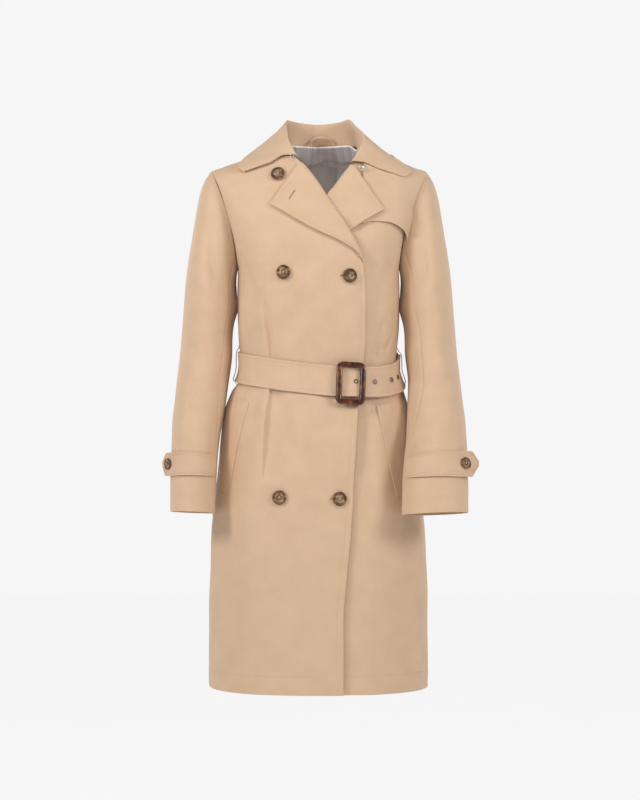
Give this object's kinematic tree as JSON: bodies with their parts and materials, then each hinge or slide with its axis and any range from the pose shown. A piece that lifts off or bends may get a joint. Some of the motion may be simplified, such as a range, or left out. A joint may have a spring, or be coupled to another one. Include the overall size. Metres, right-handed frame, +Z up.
{
  "type": "belted double-breasted trench coat",
  "caption": "Mid-length double-breasted trench coat in beige cotton, worn shape with nobody inside, belted with a buckle, wide lapels, storm flap and cuff straps.",
  "frame": {"origin": "middle of the neck opening, level with the tops of the shoulder seams, where the wearer's neck and shoulders hold the coat", "axes": "+Z up along the wearer's body, the front faces -Y, +X is the viewer's right and the wearer's left"},
  "size_m": [0.5306, 0.3149, 0.9759],
  "materials": {
    "cloth": "beige cotton twill with a soft sheen",
    "lining": "smooth grey-mauve lining with faint upright stripes",
    "label": "bare woven off-white",
    "horn": "polished mottled brown horn",
    "shell": "glossy mottled tortoiseshell",
    "steel": "bright steel",
    "dark_metal": "dull bronzed metal"
  },
  "bodies": {
    "root": {"front_over": "cloth", "front_under": "cloth", "back": "cloth", "back_lining": "lining", "neck_label": "label", "hanger_loop": "cloth", "collar": "cloth", "lapel_left": "cloth", "lapel_right": "cloth", "storm_flap": "cloth", "sleeve_top_left": "cloth", "sleeve_under_left": "cloth", "sleeve_top_right": "cloth", "sleeve_under_right": "cloth", "cuff_strap_left": "cloth", "cuff_button_left": "horn", "cuff_strap_right": "cloth", "cuff_button_right": "horn", "pocket_left": "cloth", "pocket_right": "cloth", "belt": "cloth", "buckle_frame": "shell", "buckle_bar": "shell", "eyelet_1": "dark_metal", "eyelet_2": "dark_metal", "eyelet_3": "dark_metal", "eyelet_4": "dark_metal", "belt_loop_left": "cloth", "belt_loop_right": "cloth", "button_top": "horn", "button_chest_left": "horn", "button_chest_right": "horn", "button_skirt_left": "horn", "button_skirt_right": "horn", "neck_hook": "steel", "neck_eye": "steel"}
  },
  "joints": []
}
